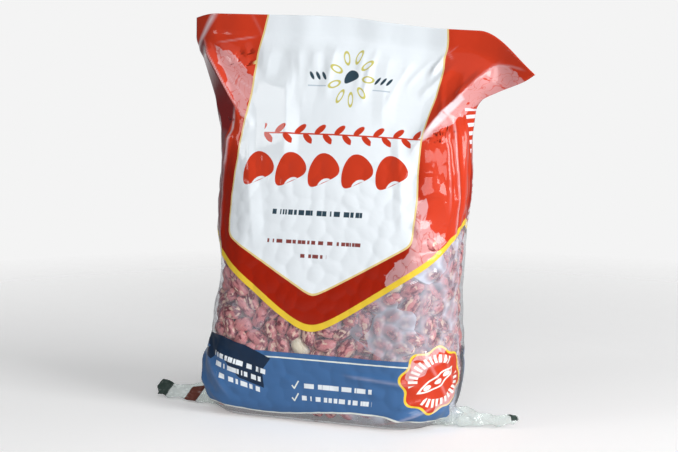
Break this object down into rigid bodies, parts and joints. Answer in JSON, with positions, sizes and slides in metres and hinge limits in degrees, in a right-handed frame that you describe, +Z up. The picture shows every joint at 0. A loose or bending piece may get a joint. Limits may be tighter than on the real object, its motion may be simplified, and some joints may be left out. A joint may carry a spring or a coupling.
{
  "type": "bag of dried beans",
  "caption": "Full pillow bag of printed clear film, sealed flat along the top and standing on its folded end, with mottled dried beans showing through the window below the print.",
  "frame": {"origin": "middle of the box round the bag, on the surface it stands on", "axes": "+Z up, the printed front panel faces -Y, +X is to the right as seen from the front"},
  "size_m": [0.247, 0.07, 0.2412],
  "materials": {
    "film": "glossy clear film with red, white, yellow and blue print"
  },
  "bodies": {
    "root": {"bag": "film"}
  },
  "joints": []
}
